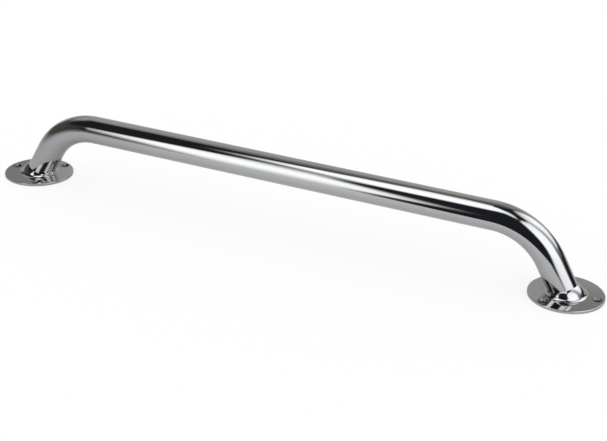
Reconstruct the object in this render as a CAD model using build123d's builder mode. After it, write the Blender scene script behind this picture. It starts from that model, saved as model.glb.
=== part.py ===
from build123d import *
from math import radians, sin, sqrt, tan
import os

# Wall handrail: one bent tube whose leaning legs pass into two pressed round flanges.
# Millimetres. The mounting surface is the plane z = 0 and +Z points away from it. The rail runs along X,
# and the origin lies on the mounting surface midway between the flanges.

# Rail tube
TUBE_DIAMETER = 22.0
TUBE_WALL = 1.5
FLANGE_SPACING = 457.0  # between the flange centres, 18 inches
RAIL_HEIGHT = 50.0  # from the mounting surface to the tube's centre line
BEND_RADIUS = 52.0  # of the centre line
LEG_ANGLE = 60.0  # degrees between a leg and the mounting surface
TUBE_END_GAP = 1.0  # the legs are cut off this far above the mounting surface

# Pressed flange: a flat ring around a domed hub
SHEET = 2.0
HUB_MARGIN = 1.6  # from the tube's slanting section to the foot of the dome
HUB_HEIGHT = 11.5  # the dome's summit above the mounting surface, before the tube pierces it
HUB_ROOT_RADIUS = 3.5  # of the hollow curve between the dome and the ring
FLANGE_RING = 13.7  # width of the ring, from the foot of the dome to the rim
RIM_RADIUS = 0.5  # rounding of the ring's upper edge
MOUTH_CLEARANCE = 0.1  # between the tube and the hole in the hub

# Screw holes, one of them at the outer end of the flange
SCREW_COUNT = 3
SCREW_MARGIN = 5.2  # from the rim to the middle of a screw hole
SCREW_HOLE_DIAMETER = 4.5
COUNTERSINK_DIAMETER = 7.6
COUNTERSINK_ANGLE = 90.0

# Weld bead inside the hub, where the tube passes through it
WELD_SIZE = 2.0

SIDES = {"left": -1, "right": 1}

tube_radius = TUBE_DIAMETER / 2
leg_slope = tan(radians(LEG_ANGLE))
leg_run = RAIL_HEIGHT / leg_slope
hub_radius = tube_radius / sin(radians(LEG_ANGLE)) + HUB_MARGIN
hub_rise = HUB_HEIGHT - SHEET
flange_radius = hub_radius + FLANGE_RING
screw_circle_radius = flange_radius - SCREW_MARGIN

# The hub is a cap of a sphere that stands on the ring, and its hollow is a cap about the same centre
dome_radius = (hub_radius**2 + hub_rise**2) / (2 * hub_rise)
dome_centre = HUB_HEIGHT - dome_radius
hollow_dome_radius = dome_radius - SHEET
hollow_radius = sqrt(hollow_dome_radius**2 - dome_centre**2)

os.makedirs("parts", exist_ok=True)

# Rail tube: the path runs on below the mounting surface and the ends are then cut level
with BuildPart() as rail_tube:
    with BuildLine(Plane.XZ) as centre_line:
        path_end = FLANGE_SPACING / 2 + leg_run
        corner = FLANGE_SPACING / 2 - leg_run
        FilletPolyline(
            (-path_end, -RAIL_HEIGHT),
            (-corner, RAIL_HEIGHT),
            (corner, RAIL_HEIGHT),
            (path_end, -RAIL_HEIGHT),
            radius=BEND_RADIUS,
        )
    with BuildSketch(Plane(origin=centre_line.line @ 0, z_dir=centre_line.line % 0)):
        Circle(tube_radius)
        Circle(tube_radius - TUBE_WALL, mode=Mode.SUBTRACT)
    sweep()
    split(bisect_by=Plane.XY.offset(TUBE_END_GAP), keep=Keep.TOP)
rail_tube.part.label = "rail_tube"
export_step(rail_tube.part, "parts/rail_tube.step")

for side_name, side in SIDES.items():
    # The foot is the centre of the flange's underside, and the leg's plane there is square to the leg
    foot = Vector(side * FLANGE_SPACING / 2, 0, 0)
    leg_plane = Plane(origin=foot, x_dir=(0, 1, 0), z_dir=(-side, 0, leg_slope))

    # Flange: a pressed disc with a domed hub, pierced by the slanting tube and by the screw holes
    with BuildPart() as flange:
        with BuildSketch(Plane(origin=foot, x_dir=(side, 0, 0), z_dir=(0, -side, 0))) as section:
            with Locations((0, dome_centre)):
                Circle(dome_radius)
            Rectangle(flange_radius, SHEET, align=Align.MIN)
            with Locations((0, dome_centre)):
                Circle(hollow_dome_radius, mode=Mode.SUBTRACT)
            Rectangle(flange_radius, HUB_HEIGHT, align=Align.MIN, mode=Mode.INTERSECT)
            for place, radius in (
                ((hub_radius, SHEET), HUB_ROOT_RADIUS),
                ((hollow_radius, 0), HUB_ROOT_RADIUS + SHEET),
                ((flange_radius, SHEET), RIM_RADIUS),
            ):
                fillet(section.vertices().sort_by_distance(place)[0], radius)
        revolve(axis=Axis(foot, (0, 0, 1)))
        with BuildSketch(leg_plane):
            Circle(tube_radius + MOUTH_CLEARANCE)
        extrude(amount=RAIL_HEIGHT, both=True, mode=Mode.SUBTRACT)
        with Locations(Plane(origin=foot + (0, 0, SHEET), x_dir=(side, 0, 0))):
            with PolarLocations(screw_circle_radius, SCREW_COUNT):
                CounterSinkHole(
                    SCREW_HOLE_DIAMETER / 2,
                    COUNTERSINK_DIAMETER / 2,
                    counter_sink_angle=COUNTERSINK_ANGLE,
                )
    flange.part.label = f"{side_name}_flange"
    export_step(flange.part, f"parts/{side_name}_flange.step")

    # Weld bead: it runs round the tube under the dome and fades out on the inner side, where the tube's end
    # comes level with the flange's underside
    with BuildPart() as weld:
        for slide, mode in ((0, Mode.ADD), (-WELD_SIZE, Mode.SUBTRACT)):
            slid_foot = leg_plane.offset(slide).origin
            with BuildSketch(Plane(origin=slid_foot, x_dir=(side, 0, 0), z_dir=(0, -side, 0))):
                with Locations((0, dome_centre)):
                    Circle(hollow_dome_radius)
                Rectangle(hollow_radius, HUB_HEIGHT, align=Align.MIN, mode=Mode.INTERSECT)
            revolve(axis=Axis(slid_foot, (0, 0, 1)), mode=mode)
        with BuildSketch(leg_plane):
            Circle(tube_radius + WELD_SIZE)
            Circle(tube_radius, mode=Mode.SUBTRACT)
        extrude(amount=RAIL_HEIGHT, both=True, mode=Mode.INTERSECT)
        split(bisect_by=Plane.XY.offset(TUBE_END_GAP), keep=Keep.TOP)
    weld.part.label = f"{side_name}_weld"
    export_step(weld.part, f"parts/{side_name}_weld.step")
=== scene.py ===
import math

import bmesh
import bpy
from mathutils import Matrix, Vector


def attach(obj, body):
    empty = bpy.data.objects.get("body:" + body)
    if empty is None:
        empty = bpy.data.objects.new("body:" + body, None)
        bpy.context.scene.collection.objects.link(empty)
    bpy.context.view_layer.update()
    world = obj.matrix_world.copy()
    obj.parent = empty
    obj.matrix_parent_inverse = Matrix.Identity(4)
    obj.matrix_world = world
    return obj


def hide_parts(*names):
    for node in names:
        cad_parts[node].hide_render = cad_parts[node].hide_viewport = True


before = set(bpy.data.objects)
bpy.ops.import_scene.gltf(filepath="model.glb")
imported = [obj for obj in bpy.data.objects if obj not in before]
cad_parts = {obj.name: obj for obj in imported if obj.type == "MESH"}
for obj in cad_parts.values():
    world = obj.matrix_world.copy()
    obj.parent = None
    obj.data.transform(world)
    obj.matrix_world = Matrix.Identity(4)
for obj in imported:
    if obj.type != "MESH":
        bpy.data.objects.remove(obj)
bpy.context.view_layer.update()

# Rail tube, in metres, with the same sizes as the CAD part
TUBE_RADIUS = 0.011
BORE_RADIUS = 0.0095
FLANGE_SPACING = 0.457
RAIL_HEIGHT = 0.050
BEND_RADIUS = 0.052
LEG_ANGLE = math.radians(60)
TUBE_END = 0.001  # height at which the legs are cut level
TUBE_SIDES = 128
BEND_STEPS = 40
STRAIGHT_STEPS = 24
LEG_STEPS = 3

# Pressed flanges, in metres, with the same sizes as the CAD part
SHEET_METAL = 0.002
HUB_MARGIN = 0.0016
HUB_HEIGHT = 0.0115
HUB_ROOT_RADIUS = 0.0035
FLANGE_RING = 0.0137
RIM_RADIUS = 0.0005
MOUTH_CLEARANCE = 0.0001
MOUTH_HALVINGS = 40  # steps in which the edge of the hole for the tube is found
SCREW_COUNT = 3
SCREW_MARGIN = 0.0052
SCREW_HOLE_RADIUS = 0.00225
COUNTERSINK_RADIUS = 0.0038
FLANGE_SIDES = 192
RIM_STEPS = 6
HUB_STEPS = 28
HOLE_SIDES = 48
SHARP_ANGLE = math.radians(30)  # edges that turn by more than this stay sharp

hub_radius = TUBE_RADIUS / math.sin(LEG_ANGLE) + HUB_MARGIN
hub_rise = HUB_HEIGHT - SHEET_METAL
flange_radius = hub_radius + FLANGE_RING
screw_circle_radius = flange_radius - SCREW_MARGIN
dome_radius = (hub_radius**2 + hub_rise**2) / (2 * hub_rise)
dome_centre = HUB_HEIGHT - dome_radius
root_height = SHEET_METAL + HUB_ROOT_RADIUS  # of the centre of the curve between the dome and the ring
root_centre = math.sqrt((dome_radius + HUB_ROOT_RADIUS) ** 2 - (root_height - dome_centre) ** 2)
root_tilt = math.atan2(root_height - dome_centre, root_centre)  # where that curve meets the dome

# Chrome. The tones are the reflectances of its darkest and its lightest clouds, and the roughness is that of
# the smoothest ones.
CHROME_TONES = (0.545, 0.575)
CHROME_ROUGHNESS = 0.02
HOLE_PAINTED_SHADE_TONES = (0.18, 0.26)  # painted shade: darker tones in the recessed screw holes, whose chrome is also less polished
HOLE_ROUGHNESS = 0.22
CHROME_TINT = (1.0, 1.01, 1.02)
CLOUDS_PER_METRE = 55.0
CLOUD_ROUGHNESS = 0.05  # added in the dullest clouds

# Polishing: length, width and height of its marks, and length and height of the waves that it leaves
MARK_LENGTH = 0.030
MARK_WIDTH = 0.00015
MARK_HEIGHT = 3e-7
MARK_ROUGHNESS = 0.03  # added in the roughest marks
WAVE_LENGTH = 0.014
WAVE_HEIGHT = 1e-5

# Welds
WELD_RIPPLES = 70.0  # in a full turn
WELD_RIPPLE_HEIGHT = 0.00012
WELD_RIPPLE_SHIFT = 2.0  # radians by which the grain makes the ripples uneven
WELD_GRAINS_PER_METRE = 900.0
WELD_GRAIN_HEIGHT = 0.00003
WELD_ROUGHNESS = (0.28, 0.48)
WELD_TINTS_PER_METRE = 260.0
WELD_TINT_RANGE = (-0.3, 1.3)  # the noise is stretched to this, so that the tints go as far as their ends
WELD_STRAW = (0.42, 0.33, 0.20)
WELD_STEEL = (0.50, 0.49, 0.47)
WELD_BLUE = (0.30, 0.33, 0.42)

# Camera, found from the outline of the rail in the photograph
CAMERA_LOCATION = (0.3983, -0.8026, 0.4296)
CAMERA_ROTATION = (64.86, -2.405, 23.631)  # degrees about X, Y and Z
CAMERA_LENS = 75.3  # mm
CAMERA_SENSOR = 36.0  # mm, its width
CAMERA_SHIFT_X = -0.0931

# Studio. The rail stands on a sheet whose front edge is near; the metal mirrors it and, beyond it, the cards.
WHITE = (1.0, 1.0, 1.0, 1.0)
FLOOR_SIZE = 14.0
FLOOR_SHADE = 0.25  # share of the shadows that the camera sees on the white floor
FLOOR_DROP = 0.0002  # of the floor below the flanges; the pads lie half as far below them, the sheet twice
PAD_PAINTED_SHADE_GREY = 0.06  # painted shade: the dark grey of the shaded ground that is seen through the screw holes
SHEET_OUTLINE = (  # the front edge from left to right, then the back corners
    (-2.5, -1.2), (-0.55, -0.33), (-0.28, -0.20), (0.0, -0.14), (0.15, -0.095), (0.19, -0.14),
    (0.25, -0.205), (0.36, -0.275), (0.67, -0.675), (2.5, -2.4), (2.5, 3.0), (-2.5, 3.0),
)
SHEET_PAINTED_LIGHT_CENTRE = (0.05, -0.14, 0.0)  # painted pool of light: the sheet's grey is lightest here
SHEET_PAINTED_LIGHT_STRETCH = (0.6, 1.0, 1.0)  # and the painted light fades more slowly along X
SHEET_PAINTED_LIGHT_TONES = (  # painted light: the sheet's grey by the distance from the lightest place
    (0.0, 0.85), (0.085, 0.78), (0.13, 0.72), (0.156, 0.68), (0.18, 0.63), (0.2, 0.59),
    (0.3, 0.54), (0.5, 0.47), (0.9, 0.38), (2.0, 0.25),
)
STUDIO_RADIUS = 1.2  # of the dome that the cards hang on
CARD_SPACING = 0.004  # from one card to the next in front of it
CARD_COLUMNS = 24
CARD_ROWS = 8  # between one rung of a card and the next

# What the metal mirrors. A card hangs on the studio's dome like a ladder of rungs, level or upright. Azimuth
# 0 is -Y and 90 is +X. At both ends of a rung the card fades out over a share of its length, and it is half
# gone at the stated ends. Each card hangs in front of those before it.
NEUTRAL = (1.0, 1.0, 1.0)
OLIVE = (1.0, 1.0, 0.80)
WARM = (1.0, 1.0, 0.95)
COOL = (0.97, 0.97, 1.0)
DUSKY = (0.90, 0.97, 1.12)


def level_rungs(*steps):
    """Level rungs from (elevation, left azimuth, right azimuth, brightness)."""
    return [((left, elevation, light), (right, elevation, light)) for elevation, left, right, light in steps]


def upright_rungs(*steps):
    """Upright rungs from (azimuth, low elevation, high elevation, brightness)."""
    return [((azimuth, low, light), (azimuth, high, light)) for azimuth, low, high, light in steps]


CARDS = (  # name, colour, faded share, rungs
    ("dark_dome", DUSKY, 0.0, upright_rungs(
        *((azimuth, -40, 90, 0.020) for azimuth in range(-180, 181, 15)))),
    ("back_wall", WARM, 0.2, level_rungs(
        (-40, -205, -125, 0.70), (-5, -205, -124, 0.62), (6, -205, -115, 0.62), (25, -205, -101, 0.42),
        (38, -205, -97, 0.50), (44, -205, -95, 0.46), (54, -205, -108, 0.31), (62, -205, -111, 0.18),
        (72, -205, -105, 0.10), (80, -205, -105, 0.05))),
    ("wall_corner", WARM, 0.15, level_rungs(
        (12, -133.5, -108, 0.55), (16, -133.5, -108, 0.29), (25, -133.5, -108, 0.29),
        (30, -133.5, -108, 0.45))),
    ("wall_end", WARM, 0.15, level_rungs(
        (26.5, -200, -180, 0.43), (28.5, -200, -180, 0.29), (40, -200, -180, 0.29), (44, -200, -180, 0.46))),
    ("olive_wall", OLIVE, 0.3, upright_rungs(
        (-112, 2, 27, 0.09), (-85, 2, 27, 0.09), (-60, 1, 26, 0.07), (-46, 0, 24, 0.05))),
    ("far_floor", NEUTRAL, 0.3, level_rungs(
        (-12, -120, -44, 0.50), (-3, -120, -44, 0.50), (2, -115, -44.5, 0.36), (6.5, -105, -48, 0.14),
        (9, -100, -50, 0.08))),
    ("front_glow", NEUTRAL, 0.3, level_rungs(
        (-32, -46, -16, 0.78), (-14, -45, -18, 0.64), (-5, -43, -20, 0.36), (2, -40, -24, 0.03))),
    ("strip_softbox", NEUTRAL, 0.28, level_rungs(
        (-28, -33, -17, 0.80), (-12, -31, -18.6, 0.98), (-6, -31.8, -17.4, 1.14), (3, -34.3, -11.9, 1.50),
        (12, -37.5, -12, 1.73), (24, -43, -16.8, 1.75), (33, -40.3, -21.5, 1.55), (42, -38.3, -26.4, 0.90),
        (48, -39, -27, 0.52), (52, -39, -26, 0.46))),
    ("overhead_softbox", NEUTRAL, 0.3, upright_rungs(
        (-150, 74, 80, 0.50), (-138, 73, 82, 0.95), (-114, 74.3, 85.5, 1.40), (-90, 71.6, 86.5, 1.58),
        (-66, 62.2, 86.5, 1.74), (-54, 59.1, 86.5, 1.80), (-27, 55, 86.5, 1.77), (-18, 58.2, 86.5, 1.74),
        (0, 61.6, 86.5, 1.72), (16, 63, 85.5, 1.65), (32, 57.5, 82, 1.28), (38, 56.5, 80, 1.18),
        (58, 70, 76, 0.20))),
    ("side_gap", COOL, 0.2, level_rungs(
        (10, 90, 126, 0.10), (28, 90, 126, 0.50), (52, 85, 126, 0.80), (57, 85, 126, 0.70),
        (68, 95, 126, 0.15))),
    ("side_softbox", COOL, 0.2, level_rungs(
        (-4, 48, 97, 1.05), (8, 49.5, 101, 1.48), (16, 48.7, 96, 1.70), (20, 47.4, 94, 1.75),
        (28, 43.5, 96, 1.75), (36, 41, 94, 1.75), (48, 38.7, 87, 1.58), (52, 42, 84, 1.46),
        (55.5, 48, 84, 1.20), (58.5, 52, 82, 0.10))),
    ("rear_softbox", COOL, 0.3, level_rungs(
        (14, 128, 156, 0.80), (20, 115, 153, 1.25), (28, 115, 152.5, 1.60), (40, 115, 152, 1.75),
        (46, 112, 150, 1.73), (61, 101, 146, 1.20), (68, 100, 135, 0.40), (71, 104, 130, 0.05))),
)


def turns(count):
    """The angles of evenly spaced places round a full turn."""
    return [2 * math.pi * step / count for step in range(count)]


def join_rings(bm, rings, material_index=0):
    """Faces from each ring of vertices to the next."""
    for first, second in zip(rings, rings[1:]):
        for side in range(len(first)):
            after = (side + 1) % len(first)
            face = bm.faces.new((first[side], first[after], second[after], second[side]))
            face.material_index = material_index


def take_mesh(bm, name):
    """Turns a bmesh into a mesh and frees it."""
    mesh = bpy.data.meshes.new(name)
    bm.to_mesh(mesh)
    bm.free()
    return mesh


def add_object(name, data):
    thing = bpy.data.objects.new(name, data)
    bpy.context.scene.collection.objects.link(thing)
    return thing


def add_piece(bm, name, node, materials):
    """Turns a bmesh into a piece that stands for a CAD node and takes its finish."""
    bmesh.ops.recalc_face_normals(bm, faces=bm.faces)
    mesh = take_mesh(bm, name)
    mesh.shade_smooth()
    mesh.set_sharp_from_angle(angle=SHARP_ANGLE)
    for material in materials:
        mesh.materials.append(material)
    piece = add_object(name, mesh)
    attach(piece, "root")
    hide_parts(node)
    return piece


def rail_path():
    """Places along the tube's centre line from left to right: x, z and the direction's angle above +X."""
    tangent = BEND_RADIUS * math.tan(LEG_ANGLE / 2)
    corner = FLANGE_SPACING / 2 - RAIL_HEIGHT / math.tan(LEG_ANGLE)
    straight_end = corner - tangent
    right = []
    for step in range(1, BEND_STEPS + 1):
        angle = LEG_ANGLE * step / BEND_STEPS
        right.append((straight_end + BEND_RADIUS * math.sin(angle),
                      RAIL_HEIGHT - BEND_RADIUS * (1 - math.cos(angle)), -angle))
    leg_x, leg_z, _ = right[-1]
    leg_length = leg_z / math.sin(LEG_ANGLE)
    for step in range(1, LEG_STEPS + 1):
        along = leg_length * step / LEG_STEPS
        right.append((leg_x + along * math.cos(LEG_ANGLE), leg_z - along * math.sin(LEG_ANGLE), -LEG_ANGLE))
    left = [(-x, z, -angle) for x, z, angle in reversed(right)]
    straight = [(straight_end * (2 * step / STRAIGHT_STEPS - 1), RAIL_HEIGHT, 0.0)
                for step in range(STRAIGHT_STEPS + 1)]
    return left + straight + right


def tube_ring(bm, grain, place, travel, radius, is_end):
    """One ring of vertices round the centre line. An end ring is slid along the leg to the level cut."""
    x, z, angle = place
    along = Vector((math.cos(angle), 0, math.sin(angle)))
    across = Vector((-math.sin(angle), 0, math.cos(angle)))
    ring = []
    for turn in turns(TUBE_SIDES):
        up, out = radius * math.cos(turn), radius * math.sin(turn)
        point = Vector((x, out, z)) + across * up
        if is_end:
            point += along * ((TUBE_END - point.z) / along.z)
        vertex = bm.verts.new(point)
        vertex[grain] = Vector((travel / MARK_LENGTH, up / MARK_WIDTH, out / MARK_WIDTH))
        ring.append(vertex)
    return ring


def add_rail_tube(material):
    """The bent tube with its bore, finer than the CAD mesh so that its reflections run smoothly."""
    path = rail_path()
    travels = [0.0]
    for (x0, z0, _), (x1, z1, _) in zip(path, path[1:]):
        travels.append(travels[-1] + math.hypot(x1 - x0, z1 - z0))
    bm = bmesh.new()
    grain = bm.verts.layers.float_vector.new("grain")
    walls = []
    for radius in (TUBE_RADIUS, BORE_RADIUS):
        rings = [tube_ring(bm, grain, place, travel, radius, place in (path[0], path[-1]))
                 for place, travel in zip(path, travels)]
        join_rings(bm, rings)
        walls.append(rings)
    outside, bore = walls
    for end in (0, -1):
        join_rings(bm, (outside[end], bore[end]))
    add_piece(bm, "rail_tube_fine", "rail_tube", [material])


def hub_point(depth, travel):
    """A point of the hub's section, as distance from the flange's axis and height. The section starts where
    the ring begins to rise. Depth is 0 on the upper face and SHEET_METAL on the underside."""
    root = HUB_ROOT_RADIUS + depth
    turn = math.pi / 2 - root_tilt
    if travel < root * turn:
        angle = -math.pi / 2 - travel / root
        return root_centre + root * math.cos(angle), root_height + root * math.sin(angle)
    dome = dome_radius - depth
    angle = root_tilt + (travel - root * turn) / dome
    return dome * math.cos(angle), dome_centre + dome * math.sin(angle)


def leg_distance(radius, height, turn):
    """Distance of a point of the flange from the leg's axis, which leans inward from the flange's centre."""
    point = Vector((radius * math.cos(turn), radius * math.sin(turn), height))
    axis = Vector((-math.cos(LEG_ANGLE), 0, math.sin(LEG_ANGLE)))
    return (point - axis * point.dot(axis)).length


def mouth_travel(depth, turn):
    """How far up the hub's section the hole for the tube lies, found by halving."""
    low, high = 0.0, dome_radius * math.pi / 2
    for _ in range(MOUTH_HALVINGS):
        middle = (low + high) / 2
        if leg_distance(*hub_point(depth, middle), turn) > TUBE_RADIUS + MOUTH_CLEARANCE:
            low = middle
        else:
            high = middle
    return low


def flange_ring(bm, side, section):
    """A ring of vertices round the flange's axis; section gives radius and height for each turn."""
    ring = []
    for turn in turns(FLANGE_SIDES):
        radius, height = section(turn)
        ring.append(bm.verts.new((side * (FLANGE_SPACING / 2 + radius * math.cos(turn)),
                                  radius * math.sin(turn), height)))
    return ring


def hub_ring(bm, side, depth, share):
    """The ring of vertices at this share of the way from the foot of the hub to the hole for the tube."""
    return flange_ring(bm, side, lambda turn: hub_point(depth, share * mouth_travel(depth, turn)))


def screw_hole(bm, side, turn):
    """The countersunk wall of one screw hole. Returns its upper and its lower ring."""
    x = FLANGE_SPACING / 2 + screw_circle_radius * math.cos(turn)
    y = screw_circle_radius * math.sin(turn)
    rings = []
    for radius, height in ((COUNTERSINK_RADIUS, SHEET_METAL),
                           (SCREW_HOLE_RADIUS, SHEET_METAL - COUNTERSINK_RADIUS + SCREW_HOLE_RADIUS),
                           (SCREW_HOLE_RADIUS, 0)):
        rings.append([bm.verts.new((side * (x + radius * math.cos(a)), y + radius * math.sin(a), height))
                      for a in turns(HOLE_SIDES)])
    join_rings(bm, rings, material_index=1)
    return rings[0], rings[-1]


def fill_flat(bm, loops):
    """Fills a flat face between its outer loop, its inner loop and the loops of its holes."""
    edges = [bm.edges.get((loop[i - 1], loop[i])) for loop in loops for i in range(len(loop))]
    bmesh.ops.triangle_fill(bm, edges=edges, use_beauty=True)


def add_flange(name, side, materials):
    """The pressed flange, finer than the CAD mesh so that the reflections on its hub run smoothly."""
    bm = bmesh.new()
    rim = [flange_ring(bm, side, lambda turn: (flange_radius, 0))]
    for step in range(RIM_STEPS + 1):
        angle = math.pi / 2 * step / RIM_STEPS
        radius = flange_radius - RIM_RADIUS * (1 - math.cos(angle))
        height = SHEET_METAL - RIM_RADIUS * (1 - math.sin(angle))
        rim.append(flange_ring(bm, side, lambda turn: (radius, height)))
    hub = [hub_ring(bm, side, 0, step / HUB_STEPS) for step in range(HUB_STEPS + 1)]
    hub += [hub_ring(bm, side, SHEET_METAL, step / HUB_STEPS) for step in range(HUB_STEPS, -1, -1)]
    join_rings(bm, rim)
    join_rings(bm, hub)
    holes = [screw_hole(bm, side, turn) for turn in turns(SCREW_COUNT)]
    fill_flat(bm, [rim[-1], hub[0]] + [upper for upper, lower in holes])
    fill_flat(bm, [rim[0], hub[-1]] + [lower for upper, lower in holes])
    piece = add_piece(bm, f"{name}_fine", name, materials)
    piece.modifiers.new("flat_ring_normals", "WEIGHTED_NORMAL").keep_sharp = True


class Shader:
    """A short way to add nodes to a material: sockets are given as values or as another node's output."""

    def __init__(self, name):
        self.material = bpy.data.materials.new(name)
        self.material.use_nodes = True
        self.tree = self.material.node_tree
        self.tree.nodes.clear()

    def node(self, kind, settings=None, **sockets):
        node = self.tree.nodes.new(f"ShaderNode{kind}")
        for key, value in (settings or {}).items():
            setattr(node, key, value)
        for key, value in sockets.items():
            self.put(node, key.replace("_", " "), value)
        return node

    def put(self, node, key, value):
        """Sets or links a socket, given by its name or its number."""
        socket = node.inputs[key]
        if isinstance(value, bpy.types.NodeSocket):
            self.tree.links.new(value, socket)
        else:
            socket.default_value = value

    def place(self):
        """Where a point lies, in metres."""
        return self.node("TexCoord").outputs["Object"]

    def attribute(self, name, output):
        """What is written on the vertices under this name."""
        return self.node("Attribute", {"attribute_name": name}).outputs[output]

    def math(self, operation, first, second=0.0):
        node = self.node("Math", {"operation": operation})
        self.put(node, 0, first)
        self.put(node, 1, second)
        return node.outputs[0]

    def vector_math(self, operation, first, second, output):
        node = self.node("VectorMath", {"operation": operation})
        self.put(node, 0, first)
        self.put(node, 1, second)
        return node.outputs[output]

    def ranged(self, value, low, high):
        """A 0 to 1 value stretched to run from low to high."""
        return self.node("MapRange", Value=value, To_Min=low, To_Max=high).outputs["Result"]

    def noise(self, vector, scale, detail=2.0):
        return self.node("TexNoise", Vector=vector, Scale=scale, Detail=detail).outputs["Fac"]

    def ramp(self, value, stops):
        """The colour for a 0 to 1 value, from stops of value and colour."""
        node = self.node("ValToRGB", Fac=value)
        elements = node.color_ramp.elements
        while len(elements) < len(stops):
            elements.new(0.5)
        for element, (position, colour) in zip(elements, stops):
            element.position = position
            element.color = (*colour, 1)
        return node.outputs["Color"]

    def bump(self, height, distance, **normal):
        """The normal of a surface that a height of 1 lifts by the distance, over another normal if given."""
        return self.node("Bump", Strength=1.0, Distance=distance, Height=height, **normal).outputs["Normal"]

    def mix(self, share, first, second):
        """The first surface where the share is 0, the second where it is 1."""
        node = self.node("MixShader", Fac=share)
        self.put(node, 1, first)
        self.put(node, 2, second)
        return node.outputs["Shader"]

    def metal(self, colour, roughness, normal):
        node = self.node("BsdfPrincipled", Base_Color=colour, Metallic=1.0, Roughness=roughness,
                         Normal=normal)
        return node.outputs["BSDF"]

    def finish(self, surface):
        self.node("OutputMaterial", Surface=surface)
        return self.material


def flange_place(shader):
    """Where a point lies, seen from the centre of the nearer flange: outward, across and up."""
    place = shader.node("SeparateXYZ", Vector=shader.place())
    outward = shader.math("SUBTRACT", shader.math("ABSOLUTE", place.outputs["X"]), FLANGE_SPACING / 2)
    return outward, place.outputs["Y"], place.outputs["Z"]


def tube_grain(shader):
    """Marks along the tube, from the places written on its vertices."""
    return shader.attribute("grain", "Vector")


def flange_grain(shader):
    """Marks round the flange's axis, from the distance to it."""
    x, y, z = flange_place(shader)
    squares = [shader.math("POWER", value, 2.0) for value in (x, y)]
    radius = shader.math("SQRT", shader.math("ADD", *squares))
    across = shader.math("DIVIDE", shader.math("ADD", radius, z), MARK_WIDTH)
    around = [shader.math("DIVIDE", value, MARK_LENGTH) for value in (x, y)]
    return shader.node("CombineXYZ", X=across, Y=around[0], Z=around[1]).outputs["Vector"]


def chrome_material(name, grain_of, tones=CHROME_TONES, roughness=CHROME_ROUGHNESS):
    """Polished chrome: fine polishing marks, a little waviness, and clouds that shine less."""
    shader = Shader(name)
    marks = shader.noise(grain_of(shader), 1.0)
    waves = shader.noise(shader.place(), 1 / WAVE_LENGTH, detail=1.0)
    clouds = shader.noise(shader.place(), CLOUDS_PER_METRE, detail=4.0)
    normal = shader.bump(marks, MARK_HEIGHT, Normal=shader.bump(waves, WAVE_HEIGHT))
    dark, light = [[tone * tint for tint in CHROME_TINT] for tone in tones]
    colour = shader.ramp(clouds, ((0.0, dark), (1.0, light)))
    cloud_roughness = shader.ranged(clouds, roughness, roughness + CLOUD_ROUGHNESS)
    mark_roughness = shader.ranged(marks, 0.0, MARK_ROUGHNESS)
    return shader.finish(shader.metal(colour, shader.math("ADD", cloud_roughness, mark_roughness), normal))


def weld_material():
    """Welded steel: ripples across the bead, grainy, with straw and blue heat tints."""
    shader = Shader("weld_metal")
    x, y, _ = flange_place(shader)
    grain = shader.noise(shader.place(), WELD_GRAINS_PER_METRE, detail=4.0)
    even_phase = shader.math("MULTIPLY", shader.math("ARCTAN2", y, x), WELD_RIPPLES)
    phase = shader.math("ADD", even_phase, shader.math("MULTIPLY", grain, WELD_RIPPLE_SHIFT))
    rippled = shader.bump(shader.math("SINE", phase), WELD_RIPPLE_HEIGHT)
    normal = shader.bump(grain, WELD_GRAIN_HEIGHT, Normal=rippled)
    heat = shader.ranged(shader.noise(shader.place(), WELD_TINTS_PER_METRE, detail=3.0), *WELD_TINT_RANGE)
    colour = shader.ramp(heat, ((0.0, WELD_STRAW), (0.5, WELD_STEEL), (1.0, WELD_BLUE)))
    return shader.finish(shader.metal(colour, shader.ranged(grain, *WELD_ROUGHNESS), normal))


def finish_welds():
    material = weld_material()
    for name in ("left_weld", "right_weld"):
        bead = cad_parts[name].data
        bead.materials.clear()
        bead.materials.append(material)


def card_material(name, colour):
    """Light whose strength is painted on the card's vertices, with edges that fade out."""
    shader = Shader(name)
    strength = shader.attribute("brightness", "Fac")
    light = shader.node("Emission", Color=(*colour, 1), Strength=strength).outputs["Emission"]
    clear = shader.node("BsdfTransparent").outputs["BSDF"]
    return shader.finish(shader.mix(shader.attribute("cover", "Fac"), clear, light))


def studio_direction(azimuth, elevation):
    a, e = math.radians(azimuth), math.radians(elevation)
    return Vector((math.sin(a) * math.cos(e), -math.cos(a) * math.cos(e), math.sin(e)))


def edge_cover(share, soft):
    """How much of the card there is at this share of a rung's length."""
    if soft == 0:
        return 1.0
    near = min(1.0, min(share, 1 - share) / soft)
    return near * near * (3 - 2 * near)


def card_rows(soft, rungs):
    """Rows of (azimuth, elevation, brightness) across a card, from its first rung to its last."""
    overhang = soft / (2 - 2 * soft)  # what is half gone at the stated ends reaches this far beyond them
    shares = [(1 + 2 * overhang) * column / CARD_COLUMNS - overhang for column in range(CARD_COLUMNS + 1)]
    ladder = [[Vector(low) + (Vector(high) - Vector(low)) * share for share in shares] for low, high in rungs]
    rows = []
    for first, second in zip(ladder, ladder[1:]):
        rows += [[a.lerp(b, step / CARD_ROWS) for a, b in zip(first, second)] for step in range(CARD_ROWS)]
    return rows + [ladder[-1]]


def add_card(radius, name, colour, soft, rungs):
    """A curved card on the studio's dome, seen only in reflections."""
    bm = bmesh.new()
    brightness = bm.verts.layers.float.new("brightness")
    cover = bm.verts.layers.float.new("cover")
    grid = []
    for row in card_rows(soft, rungs):
        line = []
        for column, (azimuth, elevation, light) in enumerate(row):
            vertex = bm.verts.new(studio_direction(azimuth, elevation) * radius)
            vertex[brightness] = light
            vertex[cover] = edge_cover(column / CARD_COLUMNS, soft)
            line.append(vertex)
        grid.append(line)
    for first, second in zip(grid, grid[1:]):
        for column in range(CARD_COLUMNS):
            bm.faces.new((first[column], first[column + 1], second[column + 1], second[column]))
    mesh = take_mesh(bm, name)
    mesh.materials.append(card_material(name, colour))
    card = add_object(name, mesh)
    card.visible_camera = False
    card.visible_diffuse = False
    card.visible_shadow = False
    card.visible_transmission = False


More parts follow.
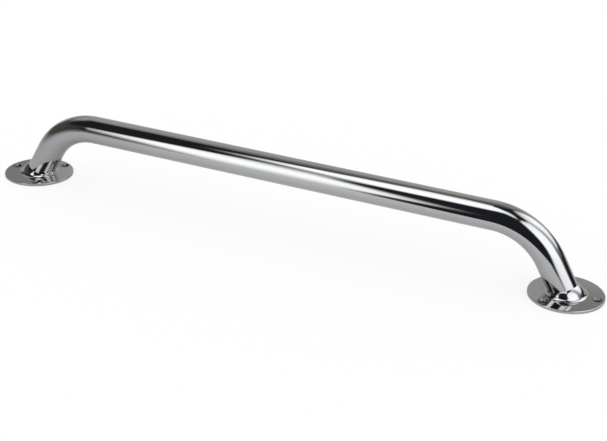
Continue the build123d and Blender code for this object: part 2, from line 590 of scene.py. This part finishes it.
def add_flat(name, corners, height, material):
    mesh = bpy.data.meshes.new(name)
    mesh.from_pydata([(x, y, height) for x, y in corners], [], [tuple(range(len(corners)))])
    mesh.materials.append(material)
    flat = add_object(name, mesh)
    return flat


def add_floor():
    """The white floor that the camera sees, with a share of the rail's shadow."""
    shader = Shader("floor")
    plain = shader.node("Emission", Color=WHITE).outputs["Emission"]
    shaded = shader.node("BsdfDiffuse", Color=WHITE).outputs["BSDF"]
    material = shader.finish(shader.mix(FLOOR_SHADE, plain, shaded))
    half = FLOOR_SIZE / 2
    corners = ((-half, -half), (half, -half), (half, half), (-half, half))
    floor = add_flat("floor", corners, -FLOOR_DROP, material)
    floor.visible_glossy = False
    floor.visible_diffuse = False


def painted_light_sheet_material():
    """Pale grey with painted light, which darkens with the distance from its lightest place."""
    shader = Shader("sheet")
    ends = [shader.vector_math("MULTIPLY", point, SHEET_PAINTED_LIGHT_STRETCH, "Vector")
            for point in (shader.place(), SHEET_PAINTED_LIGHT_CENTRE)]
    from_painted_light = shader.vector_math("DISTANCE", *ends, "Value")
    reach = SHEET_PAINTED_LIGHT_TONES[-1][0]
    stops = [(distance / reach, (grey, grey, grey)) for distance, grey in SHEET_PAINTED_LIGHT_TONES]
    colour = shader.ramp(shader.math("DIVIDE", from_painted_light, reach), stops)
    return shader.finish(shader.node("BsdfDiffuse", Color=colour).outputs["BSDF"])


def add_sheet():
    """The grey sheet, with painted light on it, that the metal mirrors in place of the floor."""
    sheet = add_flat("sheet", SHEET_OUTLINE, -2 * FLOOR_DROP, painted_light_sheet_material())
    sheet.visible_camera = False
    sheet.visible_shadow = False


def add_painted_shade_pads():
    """Painted shade: a dark pad under each flange stands in for the shaded ground, which shows only through
    the screw holes.
    """
    shader = Shader("painted_shade_pad")
    painted_shade = shader.node("BsdfDiffuse", Color=(PAD_PAINTED_SHADE_GREY, PAD_PAINTED_SHADE_GREY, PAD_PAINTED_SHADE_GREY, 1))
    material = shader.finish(painted_shade.outputs["BSDF"])
    radius = flange_radius - RIM_RADIUS
    for name, side in (("left_painted_shade_pad", -1), ("right_painted_shade_pad", 1)):
        corners = [(side * FLANGE_SPACING / 2 + radius * math.cos(turn), radius * math.sin(turn))
                   for turn in turns(HOLE_SIDES)]
        add_flat(name, corners, -FLOOR_DROP / 2, material)


def set_world():
    world = bpy.data.worlds.new("studio")
    world.use_nodes = True
    background = world.node_tree.nodes["Background"]
    background.inputs["Color"].default_value = WHITE
    background.inputs["Strength"].default_value = 1.0
    bpy.context.scene.world = world


def add_camera():
    data = bpy.data.cameras.new("camera")
    data.lens = CAMERA_LENS
    data.sensor_width = CAMERA_SENSOR
    data.shift_x = CAMERA_SHIFT_X
    camera = add_object("camera", data)
    camera.location = CAMERA_LOCATION
    camera.rotation_euler = [math.radians(angle) for angle in CAMERA_ROTATION]
    bpy.context.scene.camera = camera


add_rail_tube(chrome_material("chrome_drawn", tube_grain))
# the chrome in the screw holes is rougher, and darker as painted shade in the recesses
flange_chromes = (chrome_material("chrome_turned", flange_grain),
                  chrome_material("chrome_in_holes_with_painted_shade", flange_grain, HOLE_PAINTED_SHADE_TONES, HOLE_ROUGHNESS))
add_flange("left_flange", -1, flange_chromes)
add_flange("right_flange", 1, flange_chromes)
finish_welds()

add_floor()
add_sheet()
add_painted_shade_pads()
set_world()
for layer, card in enumerate(CARDS):
    add_card(STUDIO_RADIUS - layer * CARD_SPACING, *card)
add_camera()

bpy.context.scene.view_settings.view_transform = "Standard"
